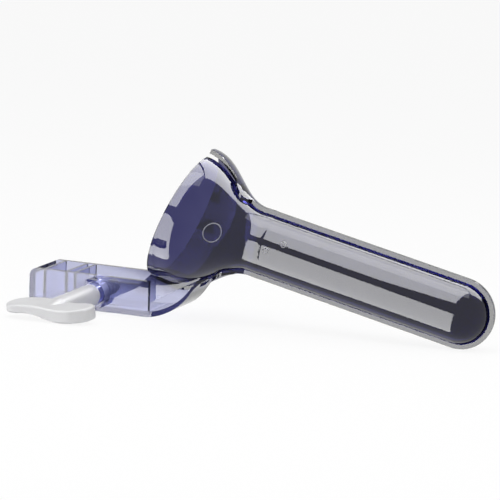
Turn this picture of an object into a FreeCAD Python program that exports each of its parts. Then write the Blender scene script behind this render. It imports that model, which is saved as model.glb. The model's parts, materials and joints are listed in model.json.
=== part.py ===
import FreeCAD, Part

import math
import os
import re

import Sketcher

# Disposable vaginal speculum of the side-screw kind, closed, in clear plastic with a white screw.
# It is drawn in its own axes: X runs along the blades towards the tip, Y is sideways with the
# frame on the -Y side, and Z is the way the blades open. The last step lays it on its side, on
# the frame, the wing of the screw and the blade tip, as it comes to rest on a table.

V = FreeCAD.Vector
X_AXIS = V(1, 0, 0)
Y_AXIS = V(0, 1, 0)
Z_AXIS = V(0, 0, 1)

SIZES = [
    ("wall", 1.8, "moulded wall of blades and funnel"),
    ("blade_reach", 104.0, "throat to the tip of the lower blade"),
    ("blade_half_width", 14.2, "lower blade, outside"),
    ("blade_depth", 9.6, "either blade, closing plane to its back"),
    ("nest_gap", 0.4, "between the nested edges of the blades"),
    ("bell_gap", 1.2, "between the nested rims of the funnel"),
    ("seam_lap", 0.5, "lower edge stands above the hinge plane"),
    ("seam_tuck", 1.0, "upper edge dips below the hinge plane"),
    ("bell_start", 2.0, "where the blade starts to flare"),
    ("bell_length", 28.0, "flare along the axis"),
    ("rim_half_width", 29.4, "lower half of the funnel, outside"),
    ("lower_rim_depth", 24.6, "lower half of the funnel, outside"),
    ("upper_rim_depth", 23.6, "upper half of the funnel, outside"),
    ("rim_setback", 31.0, "throat to the middle of the rim"),
    ("rim_slant", 10.4, "degrees that the rim leans"),
    ("edge_relief", 8.0, "degrees cut off the upper funnel edge so that it can dip"),
    ("hinge_setback", 8.0, "throat to the hinge axis"),
    ("pin_radius", 2.0, "hinge pins moulded on the upper valve"),
    ("pin_clearance", 0.06, "pin in its hole"),
    ("ear_radius", 4.2, "ears of the lower valve round the pins"),
    ("pin_root_radius", 2.5, "edge of the upper valve round its pins"),
    ("opening_angle", 14.0, "degrees that the upper valve swings"),
    ("frame_reach", 31.0, "throat back to the frame"),
    ("frame_drop", 41.4, "axis out to the floor of the frame"),
    ("frame_angle", 12.4, "degrees that the frame leans outwards"),
    ("frame_length", 52.2, "box frame, outside"),
    ("frame_height", 14.4, "box frame, floor to open side"),
    ("frame_half_depth", 11.0, "box frame, middle to outer face"),
    ("frame_wall", 2.0, "walls and floor of the box frame"),
    ("rib_thickness", 1.2, "cross ribs of the box frame"),
    ("small_cell", 2.6, "first cell past the bay"),
    ("large_cell", 8.4, "second cell past the bay"),
    ("last_cell", 3.6, "third cell past the bay"),
    ("frame_round", 3.0, "rounding of the far corners of the frame"),
    ("neck_wall", 2.2, "wall of the curved neck"),
    ("neck_plunge", 2.0, "neck runs on under the floor of the frame"),
    ("screw_room", 9.0, "screw axis to the first rib"),
    ("boss_radius", 6.4, "round boss on the frame"),
    ("boss_height", 5.0, "boss above the frame"),
    ("stem_radius", 4.35, "smooth stem of the screw"),
    ("screw_clearance", 0.07, "stem and journal in their holes"),
    ("collar_lip", 0.5, "collar stands out past the stem"),
    ("collar_height", 1.2, "collar inside the frame"),
    ("collar_float", 0.2, "end play of the collar"),
    ("core_radius", 2.4, "threaded length, at its root"),
    ("crest_radius", 3.0, "threaded length, at its crest"),
    ("slot_clearance", 0.2, "slot of the lever beside the crests"),
    ("slot_play", 2.2, "slot is longer than wide by this"),
    ("journal_radius", 1.8, "end journal of the screw"),
    ("lever_thickness", 2.6, "lever of the upper valve"),
    ("lever_gap", 0.3, "lever below the collar"),
    ("lever_side_gap", 0.5, "lever above the floor of the frame"),
    ("lever_overhang", 5.6, "lever past the screw axis"),
    ("lever_mouth", 4.0, "mouth of the frame to where the lever is straight"),
    ("root_width", 1.2, "foot of the lever on the funnel, beside it"),
    ("stem_length", 27.0, "boss to the root of the wing"),
    ("wing_depth", 17.0, "wing along the screw"),
    ("wing_half_span", 17.6, "wing across the screw"),
    ("wing_angle", 18.6, "degrees that the wing is turned at rest"),
    ("thin_lobe", 3.7, "thickness of the thin lobe"),
    ("thick_lobe", 5.4, "thickness of the thick lobe"),
    ("lobe_lift", 2.2, "thin lobe rises above the axis"),
    ("lobe_fall", 1.0, "thick lobe sinks below the axis"),
    ("wing_corner", 7.0, "rounding of the lobes seen from above"),
    ("wing_edge", 1.1, "rounding of the wing's rim"),
]
NAMES = {name for name, number, meaning in SIZES}

doc = FreeCAD.newDocument("speculum")
sheet = doc.addObject("Spreadsheet::Sheet", "Sizes")
for row, (name, number, meaning) in enumerate(SIZES, start=1):
    sheet.set(f"A{row}", name)
    sheet.set(f"B{row}", str(number))
    sheet.set(f"C{row}", meaning)
    sheet.setAlias(f"B{row}", name)
doc.recompute()


def cells(text):
    """The expression with each size read from the sheet."""
    return re.sub(r"[a-z_]+", lambda word: "Sizes." + word[0] if word[0] in NAMES else word[0], text)


def value(text):
    """What an expression comes to now."""
    return float(sheet.evalExpression(cells(text)))


def bind(obj, sizes, place=("0", "0", "0")):
    """Tie an object's sizes and its place to the sheet."""
    for prop, text in sizes.items():
        obj.setExpression(prop, cells(text))
    for axis, text in zip("xyz", place):
        obj.setExpression(f"Placement.Base.{axis}", cells(text))
    return obj


def box(name, length, width, height, place, turn=None):
    obj = doc.addObject("Part::Box", name)
    if turn:
        obj.Placement.Rotation = turn
    return bind(obj, {"Length": length, "Width": width, "Height": height}, place)


def cylinder(name, radius, height, place, turn=None):
    obj = doc.addObject("Part::Cylinder", name)
    if turn:
        obj.Placement.Rotation = turn
    return bind(obj, {"Radius": radius, "Height": height}, place)


def fuse(name, *parts):
    obj = doc.addObject("Part::MultiFuse", name)
    obj.Shapes = list(parts)
    return obj


def cut(name, base, *tools):
    obj = doc.addObject("Part::Cut", name)
    obj.Base = base
    obj.Tool = tools[0] if len(tools) == 1 else fuse(name + "_tools", *tools)
    return obj


def feature(name, shape):
    obj = doc.addObject("Part::Feature", name)
    obj.Shape = shape
    return obj


# Blade and funnel envelopes: one smooth body of elliptical sections. The blade is straight, its
# tip is the same section turned about the closing plane's normal, and the funnel flares in an
# ogee that leaves the blade and meets the lip without a corner.

FLARE_STEPS = 5
LIP_LENGTH = 14
SEWING_GAP = 0.01

# Knives are larger than the whole part.
OVERSIZE = "(2 * (blade_reach + frame_reach + frame_length))"
HALF_BACK = f"-{OVERSIZE} / 2"


def ellipse(across, deep, x=0.0):
    """An ellipse across the lumen, in two halves that meet at the crowns."""
    curve = Part.Ellipse(V(x, across, 0), V(x, 0, deep), V(x, 0, 0))
    quarter = math.pi / 2
    return Part.Wire([curve.toShape(-quarter, quarter), curve.toShape(quarter, 3 * quarter)])


def envelope(blade_width, blade_depth, rim_width, rim_depth, lip_length):
    """A closed tube from the lip of the funnel to the tip of the blade, sewn from its faces."""
    tip_centre = value("blade_reach - blade_half_width")
    step_length = value("bell_length") / FLARE_STEPS
    start = value("bell_start") + step_length
    sections = []
    for step in range(-1, FLARE_STEPS + 2):
        share = (1 - math.cos(math.pi * min(max(step / FLARE_STEPS, 0), 1))) / 2
        across = blade_width + (rim_width - blade_width) * share
        deep = blade_depth + (rim_depth - blade_depth) * share
        sections.append(ellipse(across, deep, start - step_length * (step + 1)))
    bell = Part.makeLoft(sections, False, False)
    lip_way = V(step_length - lip_length, 0, 0)
    lip = sections[-1].extrude(lip_way)
    end = sections[-1].copy()
    end.translate(lip_way)
    blade = ellipse(blade_width, blade_depth, start).extrude(V(tip_centre - start, 0, 0))

    tip_faces = []
    for half, axis in zip(ellipse(blade_width, blade_depth).Edges, (-Z_AXIS, Z_AXIS)):
        quarter_dome = half.revolve(V(0, 0, 0), axis, 90)
        quarter_dome.translate(V(tip_centre, 0, 0))
        tip_faces += quarter_dome.Faces

    straight = Part.Compound(lip.Faces + blade.Faces + tip_faces).toNurbs()
    skin = Part.Compound(bell.Faces + straight.Faces + [Part.Face(end)])
    skin.sewShape(SEWING_GAP)
    tube = Part.Solid(skin.Shells[0])
    return tube if tube.Volume > 0 else tube.reversed()


def valve_envelopes(name, blade_width, rim_width, rim_depth):
    """The outside and the inside of one valve, as full tubes."""
    wall = value("wall")
    depth = value("blade_depth")
    outside = envelope(blade_width, depth, rim_width, rim_depth, LIP_LENGTH)
    inside = envelope(
        blade_width - wall,
        depth - wall,
        rim_width - wall,
        rim_depth - wall,
        LIP_LENGTH + wall,
    )
    return feature(name + "_outside", outside), feature(name + "_inside", inside)


lower_outside, lower_inside = valve_envelopes(
    "lower",
    value("blade_half_width"),
    value("rim_half_width"),
    value("lower_rim_depth"),
)
upper_outside, upper_inside = valve_envelopes(
    "upper",
    value("blade_half_width - wall - nest_gap"),
    value("rim_half_width - wall - bell_gap"),
    value("upper_rim_depth"),
)


def rim_knife(name):
    """Everything behind the slanting rim."""
    turn = FreeCAD.Rotation(Z_AXIS, 180 - value("rim_slant"))
    knife = box(name, OVERSIZE, OVERSIZE, OVERSIZE, ("0", "0", "0"), turn)
    corner = turn.multVec(V(0, -value(OVERSIZE) / 2, -value(OVERSIZE) / 2))
    knife.setExpression("Placement.Base.x", cells(f"-rim_setback + {corner.x}"))
    knife.setExpression("Placement.Base.y", str(corner.y))
    knife.setExpression("Placement.Base.z", str(corner.z))
    return knife


def ear(name, radius):
    """A round about the hinge axis that the seam knives leave standing."""
    return cylinder(
        name,
        radius,
        OVERSIZE,
        ("-hinge_setback", f"{OVERSIZE} / 2", "0"),
        FreeCAD.Rotation(X_AXIS, 90),
    )


# Lower half: everything above the seam goes, apart from the ears, and the edge on the lever's
# side is cut down along the underside of the open lever.
above_seam = cut(
    "above_seam",
    box("above_box", OVERSIZE, OVERSIZE, OVERSIZE, (HALF_BACK, HALF_BACK, "seam_lap")),
    ear("lower_ear", "ear_radius"),
)
lever_top = "frame_half_depth - frame_wall - collar_float - collar_height - lever_gap"
lever_bottom = f"{lever_top} - lever_thickness"
NOTCH_GAP = "0.6"
NOTCH_LENGTH = "40"
open_turn = FreeCAD.Rotation(Y_AXIS, -value("opening_angle"))
notch_low = open_turn.multVec(V(-value(NOTCH_LENGTH), 0, value(f"{lever_bottom} - {NOTCH_GAP}")))
lever_notch = box(
    "lever_notch",
    f"{NOTCH_LENGTH} - ear_radius",
    "rim_half_width",
    "frame_half_depth",
    (f"-hinge_setback + {notch_low.x}", "-rim_half_width - blade_half_width", str(notch_low.z)),
    open_turn,
)
lower_half = cut("lower_half", lower_outside, above_seam, rim_knife("lower_rim"), lever_notch)

# Upper half: its edges tuck inside the lower ones, and along the funnel they rise away from the
# hinge, so that the opened funnel dips into the lower half without touching.
relief_turn = FreeCAD.Rotation(Y_AXIS, value("edge_relief"))
relief_corner = relief_turn.multVec(V(-value(OVERSIZE), 0, -value(OVERSIZE)))
below_seam = cut(
    "below_seam",
    fuse(
        "below_boxes",
        box(
            "below_box",
            OVERSIZE,
            OVERSIZE,
            OVERSIZE,
            (HALF_BACK, HALF_BACK, f"-{OVERSIZE} - seam_tuck"),
        ),
        box(
            "relief_box",
            OVERSIZE,
            OVERSIZE,
            OVERSIZE,
            (
                f"-hinge_setback + {relief_corner.x}",
                HALF_BACK,
                f"-seam_tuck + {relief_corner.z}",
            ),
            relief_turn,
        ),
    ),
    ear("upper_ear", "pin_root_radius"),
)
upper_half = cut("upper_half", upper_outside, below_seam, rim_knife("upper_rim"))


# Box frame, drawn from its mouth back along -X with its floor at y = 0, then swung into place.
# Its side away from the floor is open, as the mould's core leaves it.

def frame_placement():
    base = V(-value("frame_reach"), -value("frame_drop"), 0)
    return FreeCAD.Placement(base, FreeCAD.Rotation(Z_AXIS, value("frame_angle")))


def frame_point(back, up, z=0.0):
    """A point of the frame, measured back from its mouth and up from its floor."""
    return frame_placement().multVec(V(-back, up, z))


cell_depth = "2 * (frame_half_depth - frame_wall)"
bay_length = "(frame_length - frame_wall - 3 * rib_thickness - small_cell - large_cell - last_cell)"
screw_setback = f"({bay_length} - screw_room)"
frame_block = box(
    "frame_block",
    "frame_length",
    "frame_height",
    "2 * frame_half_depth",
    ("-frame_length", "0", "-frame_half_depth"),
)
rounded_block = doc.addObject("Part::Fillet", "rounded_block")
rounded_block.Base = frame_block
doc.recompute()
far_edges = []
for index, edge in enumerate(frame_block.Shape.Edges, start=1):
    upright = edge.BoundBox.ZLength > value("frame_half_depth")
    if upright and edge.BoundBox.XMax < -value("frame_length") + 1:
        far_edges.append((index, value("frame_round"), value("frame_round")))
rounded_block.Edges = far_edges

cell_starts = [
    ("bay", "0", bay_length),
    ("small", f"{bay_length} + rib_thickness", "small_cell"),
    ("large", f"{bay_length} + 2 * rib_thickness + small_cell", "large_cell"),
    ("last", f"{bay_length} + 3 * rib_thickness + small_cell + large_cell", "last_cell"),
]
frame_cells = [
    box(
        name + "_cell",
        length,
        "frame_height",
        cell_depth,
        (f"-({start}) - ({length})", "frame_wall", "-frame_half_depth + frame_wall"),
    )
    for name, start, length in cell_starts
]
boss = cylinder(
    "boss",
    "boss_radius",
    "boss_height + frame_wall",
    (f"-{screw_setback}", "frame_height / 2", "frame_half_depth - frame_wall"),
)
stem_hole = cylinder(
    "stem_hole",
    "stem_radius + screw_clearance",
    "boss_height + 2 * frame_wall",
    (f"-{screw_setback}", "frame_height / 2", "frame_half_depth - 1.5 * frame_wall"),
)
journal_hole = cylinder(
    "journal_hole",
    "journal_radius + screw_clearance",
    "2 * frame_wall",
    (f"-{screw_setback}", "frame_height / 2", "-frame_half_depth - frame_wall / 2"),
)
hollow_frame = cut("hollow_frame", rounded_block, *frame_cells)
frame_and_boss = fuse("frame_and_boss", hollow_frame, boss)
frame_channel = cut("frame_channel", frame_and_boss, stem_hole, journal_hole)
frame_channel.Placement = frame_placement()


# Curved neck that carries the frame: a web on the lower side and an outer wall along an S of two
# equal arcs, from the side of the blade out to the floor of the frame.

def s_curve(start, start_heading, end, end_heading, hand=1):
    """Two tangent arcs of equal radius, the first turning left (hand 1) or right (hand -1)."""
    low, high = 1.0, 500.0
    first_side = V(-start_heading.y, start_heading.x, 0) * hand
    second_side = V(end_heading.y, -end_heading.x, 0) * hand
    for halving in range(60):
        radius = (low + high) / 2
        first = start + first_side * radius
        second = end + second_side * radius
        if (second - first).Length > 2 * radius:
            low = radius
        else:
            high = radius
    middle = (first + second) * 0.5
    arcs = []
    for centre, near, far in ((first, start, middle), (second, middle, end)):
        bulge = ((near + far) * 0.5 - centre).normalize() * radius
        arcs.append(Part.Arc(near, centre + bulge, far))
    return arcs


def edges(curves):
    return [curve.toShape() for curve in curves]


def run(points):
    """Straight edges from each point to the next."""
    return edges(Part.LineSegment(a, b) for a, b in zip(points, points[1:]))


ROOT_AT_RIM = 0.75
ROOT_BEHIND_RIM = 6


def neck():
    thick = value("neck_wall")
    back = frame_placement().Rotation.multVec(-X_AXIS)
    inward = frame_placement().Rotation.multVec(Y_AXIS) * thick
    start = V(value("bell_start"), -value("blade_half_width"), 0)
    end = frame_point(value("neck_plunge"), 0)
    outer = edges(s_curve(start, -X_AXIS, end, back))
    inner = edges(s_curve(start + V(0, thick, 0), -X_AXIS, end + inward, back))
    ends = run([end, end + inward]) + run([start, start + V(0, thick, 0)])
    wall_face = Part.Face(Part.Wire(Part.__sortEdges__(outer + inner + ends)))
    border = [
        end,
        frame_point(value("neck_plunge"), value("frame_height")),
        V(ROOT_BEHIND_RIM - value("rim_setback"), -value("rim_half_width") * ROOT_AT_RIM, 0),
        start + V(0, value("wall"), 0),
        start,
    ]
    web_face = Part.Face(Part.Wire(Part.__sortEdges__(outer + run(border))))
    half_depth = value("frame_half_depth")
    wall_face.translate(V(0, 0, -half_depth))
    web_face.translate(V(0, 0, -half_depth))
    wall = wall_face.extrude(V(0, 0, 2 * half_depth))
    web = web_face.extrude(V(0, 0, value("frame_wall")))
    return wall.fuse(web).removeSplitter()


neck_blank = feature("neck_blank", neck())
neck_rise = math.atan2(value("frame_half_depth"), value("frame_reach"))
neck_slope = FreeCAD.Rotation(Y_AXIS, math.degrees(neck_rise))
neck_knife = box(
    "neck_knife",
    OVERSIZE,
    OVERSIZE,
    OVERSIZE,
    ("0", HALF_BACK, "seam_lap"),
    neck_slope,
)
neck_corner = neck_slope.multVec(V(-value(OVERSIZE) / 2, 0, 0))
neck_knife.setExpression("Placement.Base.x", str(neck_corner.x))
neck_knife.setExpression("Placement.Base.z", cells(f"seam_lap + {neck_corner.z}"))
neck_part = cut("neck_part", neck_blank, neck_knife)

pin_holes = cylinder(
    "pin_holes",
    "pin_radius + pin_clearance",
    OVERSIZE,
    ("-hinge_setback", f"{OVERSIZE} / 2", "0"),
    FreeCAD.Rotation(X_AXIS, 90),
)
lower_mass = fuse("lower_mass", lower_half, neck_part, frame_channel)
lower_shell = cut("lower_shell", lower_mass, lower_inside)
lower_valve = cut("lower_valve", lower_shell, pin_holes)


# Upper valve: half shell, hinge pins and the lever.

ROOT_ALONG_BELL = 0.6
ROOT_ACROSS_BELL = 0.66
MOUTH_ACROSS_BELL = 0.84


def lever_outline():
    """The lever seen along Z: a root on the funnel's side and a tongue in the frame."""
    side_gap = value("frame_wall + lever_side_gap")
    top = value("frame_height") - side_gap
    end = value(f"{screw_setback} + lever_overhang")
    mouth = value("lever_mouth")
    rim = value("rim_half_width")
    root = value("bell_start") - value("bell_length") * ROOT_ALONG_BELL
    points = [
        V(root, -rim * ROOT_ACROSS_BELL, 0),
        V(root, -rim * ROOT_ACROSS_BELL - value("root_width"), 0),
        frame_point(mouth / 2, side_gap + mouth / 2),
        frame_point(mouth, side_gap),
        frame_point(end, side_gap),
        frame_point(end, top),
        frame_point(mouth * 1.4, top),
        V(-value("rim_setback") - mouth, -rim * MOUTH_ACROSS_BELL, 0),
    ]
    return Part.Face(Part.makePolygon(points + points[:1]))


lever_face = lever_outline()
lever_face.translate(V(0, 0, value(lever_bottom)))
lever = feature("lever", lever_face.extrude(V(0, 0, value("lever_thickness"))))


def slot():
    """A hole with round ends, drawn out along X, that the thread passes through."""
    radius = value("crest_radius + slot_clearance")
    half = value("slot_play") / 2
    low = value(lever_bottom) - 1
    high = value("lever_thickness") + 2
    middle = frame_point(value(screw_setback), value("frame_height") / 2)
    ends = [Part.makeCylinder(radius, high, V(middle.x + side, middle.y, low)) for side in (-half, half)]
    bridge = Part.makeBox(2 * half, 2 * radius, high, V(middle.x - half, middle.y - radius, low))
    return ends[0].fuse([ends[1], bridge]).removeSplitter()


pin_rod = cylinder(
    "pin_rod",
    "pin_radius",
    OVERSIZE,
    ("-hinge_setback", f"{OVERSIZE} / 2", "0"),
    FreeCAD.Rotation(X_AXIS, 90),
)
pins = doc.addObject("Part::Common", "pins")
pins.Base = pin_rod
pins.Tool = feature("pin_limit", lower_outside.Shape)
upper_mass = fuse("upper_mass", upper_half, lever, pins)
upper_shell = cut("upper_shell", upper_mass, upper_inside)
upper_valve = cut("upper_valve", upper_shell, feature("slot", slot()))


# Wing screw, drawn about its own axis with z as in the valves.

wing_screw = doc.addObject("PartDesign::Body", "wing_screw")


def plane(body, role):
    return next(part for part in body.Origin.OriginFeatures if part.Role == role)


def sketch_on(body, name, role, offset="0"):
    sketch = body.newObject("Sketcher::SketchObject", name)
    sketch.AttachmentSupport = [(plane(body, role), "")]
    sketch.MapMode = "FlatFace"
    sketch.setExpression("AttachmentOffset.Base.z", cells(offset))
    return sketch


def outline(sketch, corners):
    """A closed run of lines whose corners are tied to the sheet."""
    points = [V(value(x), value(y), 0) for x, y in corners]
    count = len(corners)
    for index in range(count):
        sketch.addGeometry(Part.LineSegment(points[index], points[(index + 1) % count]))
    for index in range(count):
        sketch.addConstraint(Sketcher.Constraint("Coincident", index, 2, (index + 1) % count, 1))
    for index, (x, y) in enumerate(corners):
        for kind, text in (("DistanceX", x), ("DistanceY", y)):
            number = sketch.addConstraint(Sketcher.Constraint(kind, -1, 1, index, 1, value(text)))
            sketch.setExpression(f"Constraints[{number}]", cells(text))


boss_face = "frame_half_depth + boss_height"
wing_start = f"{boss_face} + stem_length"
wing_end = f"{wing_start} + wing_depth"
bay_half = "(frame_half_depth - frame_wall)"
collar_top = f"{bay_half} - collar_float"
stem_taper = "0.45 * stem_radius"
shaft = sketch_on(wing_screw, "shaft_profile", "XZ_Plane")
outline(
    shaft,
    [
        ("0", "-frame_half_depth"),
        ("journal_radius", "-frame_half_depth"),
        ("journal_radius", f"-{bay_half} + collar_float"),
        ("core_radius", f"-{bay_half} + collar_float"),
        ("core_radius", f"{collar_top} - collar_height"),
        ("stem_radius + collar_lip", f"{collar_top} - collar_height"),
        ("stem_radius + collar_lip", collar_top),
        ("stem_radius", collar_top),
        ("stem_radius", f"{wing_start} + 0.15 * wing_depth"),
        (stem_taper, f"{wing_end} - 0.1 * wing_depth"),
        ("0", f"{wing_end} - 0.1 * wing_depth"),
    ],
)
turned = wing_screw.newObject("PartDesign::Revolution", "turned")
turned.Profile = shaft
turned.ReferenceAxis = (shaft, ["V_Axis"])
turned.Angle = 360
doc.recompute()

# The wing is an S seen from its end: a thin lobe that rises and a thick one that sinks.
wing_profile = sketch_on(wing_screw, "wing_profile", "XY_Plane", wing_start)
span = value("wing_half_span")
thin_low = V(-span, value("lobe_lift - thin_lobe / 2"), 0)
thin_high = V(-span, value("lobe_lift + thin_lobe / 2"), 0)
thick_low = V(span, value("-lobe_fall - thick_lobe / 2"), 0)
thick_high = V(span, value("-lobe_fall + thick_lobe / 2"), 0)
level = V(value("wing_corner + wing_edge"), 0, 0)
for left, right in ((thin_low, thick_low), (thin_high, thick_high)):
    wing_profile.addGeometry(Part.LineSegment(left, left + level))
    for arc in s_curve(left + level, X_AXIS, right - level, X_AXIS, -1):
        wing_profile.addGeometry(arc)
    wing_profile.addGeometry(Part.LineSegment(right - level, right))
wing_profile.addGeometry(Part.LineSegment(thick_low, thick_high))
wing_profile.addGeometry(Part.LineSegment(thin_high, thin_low))
wing = wing_screw.newObject("PartDesign::Pad", "wing")
wing.Profile = wing_profile
wing.setExpression("Length", cells("wing_depth"))
doc.recompute()

blade_corners = []
for index, edge in enumerate(wing.Shape.Edges, start=1):
    box_of = edge.BoundBox
    at_tip = abs(abs(box_of.Center.x) - span) < 0.01 and box_of.XLength < 0.01
    if at_tip and box_of.ZLength < 0.01:
        blade_corners.append(f"Edge{index}")
rounded_lobes = wing_screw.newObject("PartDesign::Fillet", "rounded_lobes")
rounded_lobes.Base = (wing, blade_corners)
rounded_lobes.setExpression("Radius", cells("wing_corner"))
doc.recompute()

rim_edges = []
for index, edge in enumerate(rounded_lobes.Shape.Edges, start=1):
    box_of = edge.BoundBox
    in_end_face = abs(box_of.Center.z - value(wing_end)) < 0.01 and box_of.ZLength < 0.01
    if in_end_face and box_of.YLength < value("thin_lobe"):
        rim_edges.append(f"Edge{index}")
rounded_rim = wing_screw.newObject("PartDesign::Fillet", "rounded_rim")
rounded_rim.Base = (rounded_lobes, rim_edges)
rounded_rim.setExpression("Radius", cells("wing_edge"))
wing_screw.Tip = rounded_rim
doc.recompute()

screw_middle = frame_point(value(screw_setback), value("frame_height") / 2)
wing_screw.Placement = FreeCAD.Placement(screw_middle, FreeCAD.Rotation(Z_AXIS, value("wing_angle")))
doc.recompute()


# At rest the part lies on its side. The floor is the plane under three places: the tip of the
# blades, the frame and the screw's wing.

def resting_placement(valve, screw):
    valve_points = valve.Shape.tessellate(0.05)[0]
    tip_points = [p for p in valve_points if p.x > value("blade_reach") / 2]
    frame_points = [p for p in valve_points if p.x < -value("frame_reach") * 0.7]
    wing_points = screw.Shape.tessellate(0.05)[0]
    up = V(0, 1, 0)
    for settling in range(12):
        lowest = [min(group, key=up.dot) for group in (tip_points, frame_points, wing_points)]
        normal = (lowest[1] - lowest[0]).cross(lowest[2] - lowest[0]).normalize()
        up = normal if normal.y > 0 else -normal
    along = (X_AXIS - up * X_AXIS.dot(up)).normalize()
    turn = FreeCAD.Rotation(along, up.cross(along), up, "ZXY").inverted()
    everything = [turn.multVec(p) for p in valve_points + wing_points + upper_valve.Shape.tessellate(0.05)[0]]
    box_of = FreeCAD.BoundBox()
    for point in everything:
        box_of.add(point)
    return FreeCAD.Placement(V(-box_of.Center.x, -box_of.Center.y, -box_of.ZMin), turn)


rest = resting_placement(lower_valve, wing_screw)
NODES = [lower_valve, upper_valve, wing_screw]
for node in NODES:
    node.Label = node.Name
    node.Placement = rest * node.Placement
doc.recompute()

for obj in doc.Objects:
    if "Invalid" in obj.State or "Error" in obj.State:
        raise RuntimeError(f"{obj.Name} failed: {obj.State}")
for node in NODES:
    if node.Shape.isNull() or not node.Shape.isValid():
        raise RuntimeError(f"{node.Name} has no valid shape")

os.makedirs("parts", exist_ok=True)
for node in NODES:
    node.Shape.exportStep(f"parts/{node.Label}.step")
    solids = len(node.Shape.Solids)
    print(f"{node.Label}: {node.Shape.Volume / 1000:.2f} cm3 in {solids} solid")

hinge = rest.multVec(V(-value("hinge_setback"), 0, 0))
hinge_way = rest.Rotation.multVec(V(0, -1, 0))
screw_base = rest.multVec(screw_middle)
screw_way = rest.Rotation.multVec(Z_AXIS)
for label, point in (("hinge", hinge), ("hinge way", hinge_way), ("screw", screw_base), ("screw way", screw_way)):
    print(f"{label}: {point.x:.5f} {point.y:.5f} {point.z:.5f}")
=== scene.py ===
# %% [markdown]
# # Disposable vaginal speculum in clear plastic
#
# A disposable speculum is two clear valves that open like a beak, and a white wing screw that
# drives them apart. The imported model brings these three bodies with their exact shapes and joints.
# This lesson gives them their plastics, adds the screw's thread and three small mould marks, and
# then sets up the table, the light and the camera. All lengths are in metres.

# %% Loading the model
import json
import math

import bmesh
import bpy
from mathutils import Matrix, Quaternion, Vector
from mathutils.bvhtree import BVHTree


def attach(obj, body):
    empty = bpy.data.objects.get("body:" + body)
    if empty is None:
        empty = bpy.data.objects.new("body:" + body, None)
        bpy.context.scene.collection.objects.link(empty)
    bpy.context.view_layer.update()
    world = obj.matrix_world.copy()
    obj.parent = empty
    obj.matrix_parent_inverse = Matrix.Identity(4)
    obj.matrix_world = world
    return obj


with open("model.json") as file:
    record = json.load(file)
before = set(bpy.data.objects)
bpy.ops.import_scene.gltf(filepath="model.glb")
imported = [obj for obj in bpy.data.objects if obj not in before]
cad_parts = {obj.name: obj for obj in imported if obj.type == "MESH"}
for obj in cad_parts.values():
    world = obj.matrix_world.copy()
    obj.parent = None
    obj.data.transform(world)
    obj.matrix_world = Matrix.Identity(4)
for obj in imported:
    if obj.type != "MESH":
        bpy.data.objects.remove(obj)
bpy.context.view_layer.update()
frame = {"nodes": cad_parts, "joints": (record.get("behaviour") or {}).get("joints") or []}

# %% [markdown]
# ## The part's own axes
#
# The speculum lies tilted on its side, so the directions of the scene aren't those of the part.
# They could be typed in as angles, but then they would be wrong as soon as the model changed. The
# two joints already hold them: the screw's axis is the way the valves open, the hinge runs across
# the blades, and the third direction, along the blades, is square to both.

# %% Axes from the two joints
joints = {joint["name"]: joint for joint in frame["joints"]}
hinge_point = Vector(joints["valve_opening"]["pos_m"])
across = -Vector(joints["valve_opening"]["axis"]).normalized()
screw_point = Vector(joints["screw_spin"]["pos_m"])
opening = Vector(joints["screw_spin"]["axis"]).normalized()
along = across.cross(opening).normalized()
print("Blades run along", [round(value, 3) for value in along])

# %% Throat of the funnel
THROAT_AHEAD = 0.008

throat = hinge_point + along * THROAT_AHEAD
print("The throat is at", [round(value, 4) for value in throat])

# %% [markdown]
# ## Helpers for node materials
#
# A material is a net of nodes that ends in a shader. It can be drawn by hand in the shader
# editor. Here it is written in code, so that each number has a name and each run gives the
# same result. Small helpers start a material, add a node, and add a wire between nodes.

# %% Nodes and wires
def new_finish(name):
    """A new node material and its Principled shader."""
    result = bpy.data.materials.new(name)
    result.use_nodes = True
    return result, result.node_tree.nodes["Principled BSDF"]


def node(owner, kind, **inputs):
    """A new node whose inputs are set by name, with underscores for spaces."""
    made = owner.node_tree.nodes.new(kind)
    for name, value in inputs.items():
        made.inputs[name.replace("_", " ")].default_value = value
    return made


def link(owner, source, target):
    """A wire from one node's output to another node's input."""
    owner.node_tree.links.new(source, target)


print("Helpers for nodes and wires are ready")

# %% [markdown]
# ## What moulded plastics have in common
#
# No moulded plastic is quite even: its melt flows in faint clouds, and its skin is a little more
# or less glossy from place to place. A picture could be wrapped round the piece for that, but it
# would need a flat layout of each surface. A noise pattern in the piece's own coordinates needs
# none, has no seams, and stays in place when the piece moves. The same pattern can steer the
# colour, the gloss and a very small bump.

# %% Patterns in the plastic
MIX_FIRST = 6
MIX_SECOND = 7
MIX_RESULT = 2
SKIN_DEPTH = 0.0001


def coordinates(owner):
    """Places in the piece's own coordinates."""
    return node(owner, "ShaderNodeTexCoord").outputs["Object"]


def clouds(owner, scale, detail):
    """A cloudy pattern of values about one half."""
    pattern = node(owner, "ShaderNodeTexNoise", Scale=scale, Detail=detail)
    link(owner, coordinates(owner), pattern.inputs["Vector"])
    return pattern.outputs["Fac"]


def spread(owner, value, low, high):
    """A value from 0 to 1, spread from low to high."""
    ranged = node(owner, "ShaderNodeMapRange", To_Min=low, To_Max=high)
    link(owner, value, ranged.inputs["Value"])
    return ranged.outputs["Result"]


def two_tone(owner, value, first, second):
    """A colour between two others, by a value from 0 to 1."""
    mixed = node(owner, "ShaderNodeMix")
    mixed.data_type = "RGBA"
    mixed.inputs[MIX_FIRST].default_value = first
    mixed.inputs[MIX_SECOND].default_value = second
    link(owner, value, mixed.inputs["Factor"])
    return mixed.outputs[MIX_RESULT]


def uneven_skin(owner, shader, height, strength):
    """A faint unevenness of the surface, from a pattern."""
    bump = node(owner, "ShaderNodeBump", Strength=strength, Distance=SKIN_DEPTH)
    link(owner, height, bump.inputs["Height"])
    link(owner, bump.outputs["Normal"], shader.inputs["Normal"])


print("Helpers for clouds, tones and skin are ready")

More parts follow.
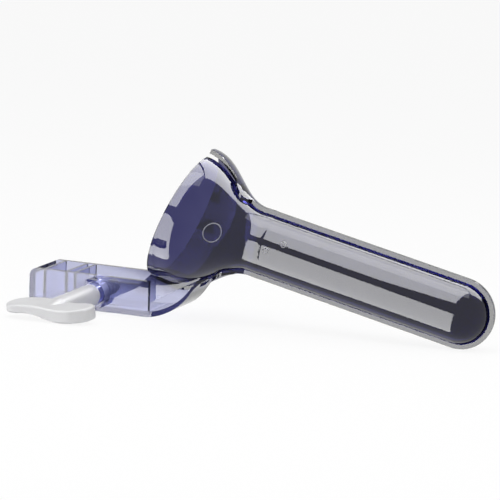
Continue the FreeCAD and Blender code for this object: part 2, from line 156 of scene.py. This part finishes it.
# %% [markdown]
# ## Clear plastic
#
# The valves are a clear moulded plastic with the polish of a steel mould. Such a plastic could be a
# plain glass shader. The Principled shader with full transmission does the same and also takes a
# base colour and a roughness that vary, so it is used here; the base colour carries the painted navy.

# %% Clear plastic
CLEAR_INDEX = 1.45
FLOW_SCALE = 60
FLOW_DETAIL = 2
POLISH = (0.01, 0.04)
RIPPLE = 0.01

clear, clear_shader = new_finish("clear_plastic")
clear_shader.inputs["Transmission Weight"].default_value = 1
clear_shader.inputs["IOR"].default_value = CLEAR_INDEX
flow = clouds(clear, FLOW_SCALE, FLOW_DETAIL)
link(clear, spread(clear, flow, *POLISH), clear_shader.inputs["Roughness"])
uneven_skin(clear, clear_shader, flow, RIPPLE)
print("Clear plastic bends light by", CLEAR_INDEX, "and its roughness is", POLISH)

# %% [markdown]
# ## Painted navy on the bell and blades
#
# In the photograph the bell and the blades show a deep navy between their reflections, and the
# neck and the frame stay light. The plastic itself is clear, and that navy is a dark backdrop seen
# through it. A dark backdrop could give that, but then the whole picture would be dark. So the navy
# is painted into the plastic's base colour, as a painted reflection of a dark backdrop, which the
# light takes on at each wall. A dot product measures how far a point lies across the blades. The
# painted navy fades out on the way to the frame, and the clouds of the melt break it up.

# %% Share of the painted navy at each point
# Where the painted navy, a stand-in for a dark backdrop, starts and where it is full, across the
# blades.
PAINTED_NAVY_ENDS = -0.036
PAINTED_NAVY_FULL = -0.024
CLOUDING = (0.94, 1.0)

side = node(clear, "ShaderNodeVectorMath")
side.operation = "DOT_PRODUCT"
side.inputs[1].default_value = across
link(clear, coordinates(clear), side.inputs[0])

middle = across.dot(throat)
fade = node(clear, "ShaderNodeMapRange", From_Min=middle + PAINTED_NAVY_ENDS, From_Max=middle + PAINTED_NAVY_FULL)
fade.interpolation_type = "SMOOTHSTEP"
link(clear, side.outputs["Value"], fade.inputs["Value"])

# Share of the painted navy at each point, broken up at random by the clouds of the melt.
share = node(clear, "ShaderNodeMath")
share.operation = "MULTIPLY"
link(clear, fade.outputs["Result"], share.inputs[0])
link(clear, spread(clear, flow, *CLOUDING), share.inputs[1])
print("The tint fades out over", round(PAINTED_NAVY_FULL - PAINTED_NAVY_ENDS, 3), "m")

# %% Light tone of the plastic and the painted navy
LIGHT_TINT = (0.80, 0.81, 0.88, 1)
# Painted navy: a dark backdrop seen through clear plastic, put into its base colour.
PAINTED_NAVY = (0.008, 0.007, 0.11, 1)

# Base colour: the plastic's light tone by the frame, the painted navy on the bell and blades.
painted_navy_mix = two_tone(clear, share.outputs["Value"], LIGHT_TINT, PAINTED_NAVY)
link(clear, painted_navy_mix, clear_shader.inputs["Base Color"])
print("The tint goes from", LIGHT_TINT[:3], "to", PAINTED_NAVY[:3])

# %% [markdown]
# ## Depth of the painted navy in thick walls
#
# Clear plastic looks darker along its edges, where one looks through more of it. A volume that
# absorbs light does this by itself, from the real thickness of the walls, so no edge mask is
# painted. Its navy tone is painted shade all the same: it stands in for a dark backdrop seen through
# the thick walls of a clear plastic.

# %% Absorption in the walls
# Navy of the absorption: a painted tone for a dark backdrop; its depth follows the wall thickness.
ABSORBED_PAINTED_NAVY = (0.35, 0.37, 0.68, 1)
VOLUME_DENSITY = 280

walls = node(clear, "ShaderNodeVolumeAbsorption", Color=ABSORBED_PAINTED_NAVY, Density=VOLUME_DENSITY)
link(clear, walls.outputs["Volume"], clear.node_tree.nodes["Material Output"].inputs["Volume"])
print("The walls absorb light with a density of", VOLUME_DENSITY)

# %% [markdown]
# ## Painted glint of the mould marks
#
# The raised marks are the same clear plastic. Their curved crests catch light from all round as
# thin pale lines, and that glint is painted here: a pale grey base colour with a half transmission
# and a high roughness keeps them pale on the painted navy, and a fine noise varies the grey and the
# roughness at random.

# %% Frosted plastic with a painted glint
FROSTED_CLEARNESS = 0.4
ETCH_SCALE = 900
ETCH_DETAIL = 2
FROSTED_ROUGHNESS = (0.30, 0.50)
# Pale greys of the marks: a painted glint of their crests, not a colour of the clear plastic.
PAINTED_GLINT_DARK = (0.50, 0.50, 0.56, 1)
PAINTED_GLINT_PALE = (0.60, 0.60, 0.66, 1)

frosted_glint, frosted_shader = new_finish("frosted_painted_glint")
frosted_shader.inputs["Transmission Weight"].default_value = FROSTED_CLEARNESS
frosted_shader.inputs["IOR"].default_value = CLEAR_INDEX
etch = clouds(frosted_glint, ETCH_SCALE, ETCH_DETAIL)
link(frosted_glint, spread(frosted_glint, etch, *FROSTED_ROUGHNESS), frosted_shader.inputs["Roughness"])
link(frosted_glint, two_tone(frosted_glint, etch, PAINTED_GLINT_DARK, PAINTED_GLINT_PALE), frosted_shader.inputs["Base Color"])
print("Frosted plastic has a roughness of", FROSTED_ROUGHNESS)

# %% [markdown]
# ## White plastic
#
# The wing screw is an opaque white moulding with a soft gloss, a little translucent at its thin
# edges. Plain white paint would look like chalk there, so a small share of subsurface scattering
# lets light wander 2 mm under the skin. The white itself is kept below 0.8, which leaves room for
# the highlights.

# %% White plastic
WHITE = (0.74, 0.74, 0.75, 1)
# A slightly darker white, mixed in at random by the clouds of the melt.
WHITE_DARKER = (0.7104, 0.7104, 0.7275, 1)
WHITE_INDEX = 1.49
WHITE_SHINE = 0.25
TRANSLUCENCE = 0.2
TRANSLUCENT_DEPTH = (0.002, 0.002, 0.002)

white, white_shader = new_finish("white_plastic")
white_shader.inputs["IOR"].default_value = WHITE_INDEX
white_shader.inputs["Specular IOR Level"].default_value = WHITE_SHINE
white_shader.inputs["Subsurface Weight"].default_value = TRANSLUCENCE
white_shader.inputs["Subsurface Radius"].default_value = TRANSLUCENT_DEPTH
print("White plastic goes from", WHITE[:3], "to", WHITE_DARKER[:3])

# %% Clouds, gloss and grain of the white plastic
MELT_SCALE = 90
MELT_DETAIL = 3
WHITE_ROUGHNESS = (0.24, 0.38)
WHITE_GRAIN = 0.08

melt = clouds(white, MELT_SCALE, MELT_DETAIL)
link(white, two_tone(white, melt, WHITE, WHITE_DARKER), white_shader.inputs["Base Color"])
link(white, spread(white, melt, *WHITE_ROUGHNESS), white_shader.inputs["Roughness"])
uneven_skin(white, white_shader, melt, WHITE_GRAIN)
print("White plastic has a roughness of", WHITE_ROUGHNESS)

# %% [markdown]
# ## Plastics on the three bodies
#
# The bodies came with plain stand-in materials. Their shapes are right, so they stay, and only the
# material slots are filled again.

# %% Plastics on the bodies
for name, finish in (("lower_valve", clear), ("upper_valve", clear), ("wing_screw", white)):
    body = frame["nodes"][name]
    body.data.materials.clear()
    body.data.materials.append(finish)
    print(name, "is now", finish.name)

# %% [markdown]
# ## Meshes from rings of points
#
# A thread and a bead are both one small section that is carried along a line. A curve with a
# bevel could do that, but it gives less say over how the section turns and fades. Rings of points
# joined by faces give all of it. A line that comes back to its start is closed, and any other gets
# a cap at each end.

# %% Mesh from rings
def ring_mesh(name, rings, closed):
    """A mesh through rings of points, closed into a loop or with a cap at each end."""
    mesh = bmesh.new()
    sections = [[mesh.verts.new(point) for point in ring] for ring in rings]
    pairs = list(zip(sections, sections[1:]))
    if closed:
        pairs.append((sections[-1], sections[0]))
    for near, far in pairs:
        for corner in range(len(near)):
            beside = (corner + 1) % len(near)
            mesh.faces.new((near[corner], near[beside], far[beside], far[corner]))
    if not closed:
        mesh.faces.new(sections[0][::-1])
        mesh.faces.new(sections[-1])
    bmesh.ops.recalc_face_normals(mesh, faces=mesh.faces)
    result = bpy.data.meshes.new(name)
    mesh.to_mesh(result)
    mesh.free()
    return result


print("The helper for ring meshes is ready")

# %% [markdown]
# ## Screw thread
#
# Inside the frame the white screw carries a coarse right-hand thread, which shows through the
# clear walls. The model has a plain core there, because a thread is slow to build as a solid. Here
# it is a ridge of its own: a section of four corners climbs round the core by one lead in each
# turn. It sits a little inside the core, and it grows out of the core at both ends, as a moulded
# thread does.

# %% Sizes of the thread
CORE_RADIUS = 0.0024
CREST_RADIUS = 0.0030
LEAD = 0.003
THREAD_START = -0.0084
THREAD_END = 0.0070
STEPS_PER_TURN = 48

thread_turns = (THREAD_END - THREAD_START) / LEAD
thread_steps = round(thread_turns * STEPS_PER_TURN)
print("The thread makes", round(thread_turns, 2), "turns in", thread_steps, "steps")

# %% Section of the thread
ROOT_WIDTH = 0.0017
CREST_WIDTH = 0.0007
SUNK = 0.0002
FADE_TURNS = 0.5


def thread_section(progress):
    """The four corners of the ridge, at a share of its way from one end to the other."""
    angle = progress * thread_turns * 2 * math.pi
    growth = min(1, progress * thread_turns / FADE_TURNS, (1 - progress) * thread_turns / FADE_TURNS)
    crest = CORE_RADIUS + (CREST_RADIUS - CORE_RADIUS) * growth
    height = THREAD_START + progress * (THREAD_END - THREAD_START)
    outward = along * math.cos(angle) + opening.cross(along) * math.sin(angle)
    corners = (
        (CORE_RADIUS - SUNK, -ROOT_WIDTH / 2),
        (crest, -CREST_WIDTH / 2),
        (crest, CREST_WIDTH / 2),
        (CORE_RADIUS - SUNK, ROOT_WIDTH / 2),
    )
    return [screw_point + outward * radius + opening * (height + rise) for radius, rise in corners]


print("The ridge stands", round(CREST_RADIUS - CORE_RADIUS, 4), "m proud of its core")

# %% Thread on the screw
sections = [thread_section(step / thread_steps) for step in range(thread_steps + 1)]
thread_mesh = ring_mesh("thread", sections, closed=False)
thread_mesh.materials.append(white)
thread = bpy.data.objects.new("thread", thread_mesh)
bpy.context.collection.objects.link(thread)
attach(thread, "wing_screw")
print("The thread has", len(thread.data.vertices), "points")

# %% [markdown]
# ## Mould marks
#
# Three small round marks of the mould stand a little proud of the near valve: a large ring on the
# funnel and two tiny ones by the throat. The valve curves both ways there, so a flat ring would
# dip into it on one side and float on the other. Instead a ray is sent down on the valve for each
# point of the ring, and the point is laid where the ray meets the surface.

# %% Surface of the near valve
RAY_START = 0.1

valve_mesh = frame["nodes"]["upper_valve"].data
valve_surface = BVHTree.FromPolygons(
    [point.co for point in valve_mesh.vertices],
    [face.vertices for face in valve_mesh.polygons],
)


def on_valve(x, y):
    """The point and the normal of the near valve's outside, over a place on its closing plane."""
    start = throat + along * x + across * y + opening * RAY_START
    return valve_surface.ray_cast(start, -opening)[:2]


crown = on_valve(0, 0)[0]
print("At the throat the near valve stands", round((crown - throat).dot(opening), 4), "m high")

# %% Section of a bead
BEAD_WIDTH = 0.0005
BEAD_HEIGHT = 0.00018
BEAD_SUNK = 0.00005
BEAD_SECTION = ((-BEAD_WIDTH / 2, -BEAD_SUNK), (0, BEAD_HEIGHT), (BEAD_WIDTH / 2, -BEAD_SUNK))


def bead_section(x, y, radius, squeeze, angle):
    """Inner edge, crest and outer edge of a bead, in one direction from its centre."""
    section = []
    for offset, rise in BEAD_SECTION:
        reach = radius + offset
        point, normal = on_valve(x + reach * squeeze * math.cos(angle), y + reach * math.sin(angle))
        section.append(point + normal * rise)
    return section


print("A bead is", BEAD_WIDTH, "m wide and", BEAD_HEIGHT, "m high")

# %% Bead on the near valve
BEAD_POINTS = 72


def bead(name, x, y, radius, squeeze=1.0):
    """A round bead on the near valve, squeezed along the blades where the wall slopes."""
    angles = [2 * math.pi * index / BEAD_POINTS for index in range(BEAD_POINTS)]
    rings = [bead_section(x, y, radius, squeeze, angle) for angle in angles]
    mesh = ring_mesh(name, rings, closed=True)
    mesh.materials.append(frosted_glint)
    mesh.shade_smooth()
    piece = bpy.data.objects.new(name, mesh)
    bpy.context.collection.objects.link(piece)
    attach(piece, "upper_valve")
    print(name, "is", round(2 * radius, 4), "m across")


bead("funnel_mark", x=-0.0112, y=0.0018, radius=0.0038, squeeze=0.76)
bead("throat_mark", x=0.0098, y=0.0005, radius=0.0010)
bead("blade_mark", x=0.0162, y=0.0048, radius=0.0010)

# %% [markdown]
# ## Background that stays white
#
# The photograph has a plain white background. More light on the table would whiten it, but it
# would wash out the part as well. Light Path tells what kind of ray has hit a surface, so the
# background can be white only for the rays that show it: those from the camera, and those that
# reach it by way of a mirror-like or clear surface. All other rays get plain soft light.

# %% Rays that show the background
def shows_background(owner):
    """A value of 1 for rays from the camera, from a polished surface and through clear plastic."""
    paths = node(owner, "ShaderNodeLightPath")
    seen = paths.outputs["Is Camera Ray"]
    for name in ("Is Glossy Ray", "Is Transmission Ray"):
        either = node(owner, "ShaderNodeMath")
        either.operation = "MAXIMUM"
        link(owner, seen, either.inputs[0])
        link(owner, paths.outputs[name], either.inputs[1])
        seen = either.outputs[0]
    return seen


print("The helper for the background is ready")

# %% [markdown]
# ## Table
#
# The part lies on a large sheet of white paper. A plane that reaches past the horizon of the camera
# does for it. Its material mixes matt paper, which takes the soft shadow, with a white glow for the
# rays that show the background. Polished surfaces don't mirror the table, because it would
# cover the softbox that stands low on the left.

# %% Matt paper with a glow
PAPER_COLOUR = (0.92, 0.92, 0.92, 1)
PAPER_ROUGHNESS = 0.9
PAPER_GLOW = 0.88
MATT_SIDE = 1
GLOWING_SIDE = 2

paper, paper_shader = new_finish("table")
paper_shader.inputs["Base Color"].default_value = PAPER_COLOUR
paper_shader.inputs["Roughness"].default_value = PAPER_ROUGHNESS
glow = node(paper, "ShaderNodeEmission", Color=(1, 1, 1, 1), Strength=1)
both = node(paper, "ShaderNodeMixShader")
link(paper, spread(paper, shows_background(paper), 0, PAPER_GLOW), both.inputs["Fac"])
link(paper, paper_shader.outputs["BSDF"], both.inputs[MATT_SIDE])
link(paper, glow.outputs["Emission"], both.inputs[GLOWING_SIDE])
link(paper, both.outputs["Shader"], paper.node_tree.nodes["Material Output"].inputs["Surface"])
print("The paper glows with a share of", PAPER_GLOW)

# %% Table top
TABLE_HALF = 15.0

corners = [(-TABLE_HALF, -TABLE_HALF, 0), (TABLE_HALF, -TABLE_HALF, 0)]
corners += [(TABLE_HALF, TABLE_HALF, 0), (-TABLE_HALF, TABLE_HALF, 0)]
table_mesh = bpy.data.meshes.new("table")
table_mesh.from_pydata(corners, [], [(0, 1, 2, 3)])
table_mesh.materials.append(paper)
table = bpy.data.objects.new("table", table_mesh)
bpy.context.collection.objects.link(table)
table.visible_glossy = False
print("The table is", 2 * TABLE_HALF, "m wide")

# %% [markdown]
# ## Light from all round
#
# A white room lights the part evenly. The world does that at half strength, so that a colour
# renders about as it is written, and it is full white only for the rays that show the background.

# %% World
ROOM_LIGHT = 0.5
ROOM_SEEN = 1.0

world = bpy.data.worlds.new("studio")
bpy.context.scene.world = world
world.use_nodes = True
sky = world.node_tree.nodes["Background"]
sky.inputs["Color"].default_value = (1, 1, 1, 1)
link(world, spread(world, shows_background(world), ROOM_LIGHT, ROOM_SEEN), sky.inputs["Strength"])
print("The room lights the part with", ROOM_LIGHT, "and is seen as", ROOM_SEEN)

# %% [markdown]
# ## Softboxes
#
# Polished plastic shows the lamps of the studio as pale panels: two long ones on the blade, and a
# band round the bell. They could be painted on, but painted light stays behind when the view
# changes. So each one is a real softbox. Its direction comes from the mirror rule: the ray from the
# camera bounces off the blade, and the box stands where that ray goes. These three boxes show in
# reflections and through clear plastic but give no matt light, so that the white screw isn't
# overlit. One lamp above gives the soft shadow.

# %% Softbox
def softbox(name, azimuth, elevation, width, height, brightness, roll=0, lights_matt=True):
    """A rectangular lamp a metre from the part, as bright as a surface of that brightness."""
    turned = math.radians(azimuth)
    raised = math.radians(elevation)
    level = math.cos(raised)
    way = Vector((math.sin(turned) * level, -math.cos(turned) * level, math.sin(raised)))
    lamp = bpy.data.lights.new(name, "AREA")
    lamp.shape = "RECTANGLE"
    lamp.size = width
    lamp.size_y = height
    lamp.energy = brightness * math.pi * width * height
    result = bpy.data.objects.new(name, lamp)
    result.location = way
    facing = Quaternion(way, math.radians(roll)) @ way.to_track_quat("Z", "Y")
    result.rotation_euler = facing.to_euler()
    result.visible_camera = False
    result.visible_diffuse = lights_matt
    bpy.context.collection.objects.link(result)
    print(name, "gives", round(lamp.energy, 1), "W")


# %% Lamps of the studio
PANEL = 9

softbox("top_light", 10, 70, width=0.9, height=0.5, brightness=2.5)
softbox("left_panel", -33, 60, width=0.96, height=1.75, brightness=PANEL, lights_matt=False)
softbox("right_panel", 144, 55, width=1.06, height=0.76, brightness=PANEL, lights_matt=False)
softbox("lower_panel", -58, -15, width=1.56, height=1.48, brightness=PANEL, roll=-40, lights_matt=False)

# %% [markdown]
# ## Camera
#
# The photograph was taken from low down, a little towards the blades' tips. The distance and the
# height were chosen first. The other angles and the length of the lens were then found by setting
# the outline of the render against that of the photograph. The view is written as a direction and
# a roll, which are easier to read than three rotation angles.

# %% Direction of the view
CAMERA_AZIMUTH = 21.2
CAMERA_ELEVATION = 6.0
CAMERA_ROLL = 3.6

azimuth = math.radians(CAMERA_AZIMUTH)
elevation = math.radians(CAMERA_ELEVATION)
level = math.cos(elevation)
sight = Vector((-math.sin(azimuth) * level, math.cos(azimuth) * level, -math.sin(elevation)))
flat_right = Vector((math.cos(azimuth), math.sin(azimuth), 0))
roll = Quaternion(-sight, math.radians(CAMERA_ROLL))
right = roll @ flat_right
upward = roll @ flat_right.cross(sight)
print("The camera looks along", [round(value, 3) for value in sight])

# %% Camera
CAMERA_DISTANCE = 1.5
CAMERA_TARGET = Vector((0.0005, 0.0, 0.0319))
CAMERA_LENS = 277.7
SENSOR = 36

lens = bpy.data.cameras.new("camera")
lens.lens = CAMERA_LENS
lens.sensor_width = SENSOR
camera = bpy.data.objects.new("camera", lens)
turn = Matrix((right, upward, -sight)).transposed().to_4x4()
camera.matrix_world = Matrix.Translation(CAMERA_TARGET - sight * CAMERA_DISTANCE) @ turn
bpy.context.collection.objects.link(camera)
bpy.context.scene.camera = camera
bpy.context.scene.view_settings.view_transform = "Standard"
print("The camera stands at", [round(value, 3) for value in camera.matrix_world.translation])
